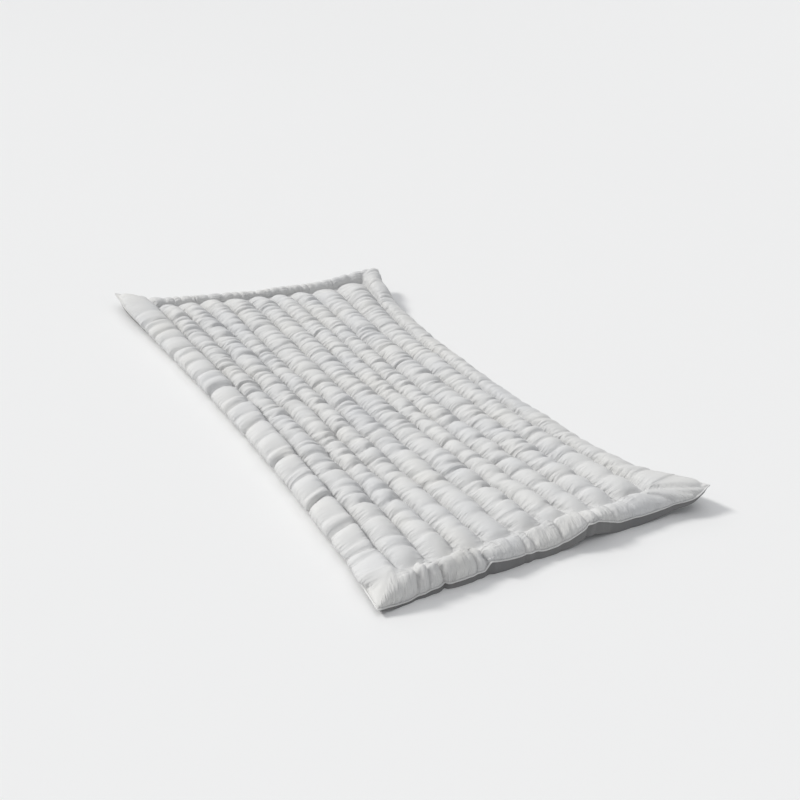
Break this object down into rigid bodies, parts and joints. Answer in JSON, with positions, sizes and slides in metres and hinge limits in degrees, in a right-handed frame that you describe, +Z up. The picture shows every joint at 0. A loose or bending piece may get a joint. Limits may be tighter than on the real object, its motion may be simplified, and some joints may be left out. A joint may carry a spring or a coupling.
{
  "type": "guest mattress",
  "caption": "Thin filled guest mattress, quilted in lengthwise channels inside a mitred border, with a piped rim; it lies flat with its waist drawn in and its corners pulled out.",
  "frame": {"origin": "middle of the box around the mattress, on the ground that it lies on", "axes": "+X across the width, +Y along the length to the end with the higher curled corner, +Z up from the quilted top"},
  "size_m": [1.3542, 2.0724, 0.1202],
  "materials": {
    "ticking": "off-white cotton ticking, matt with a faint sheen, gathered along its seams",
    "piping": "off-white cotton covered cord, matt"
  },
  "bodies": {
    "root": {"mattress": "ticking", "piping": "piping"}
  },
  "joints": []
}
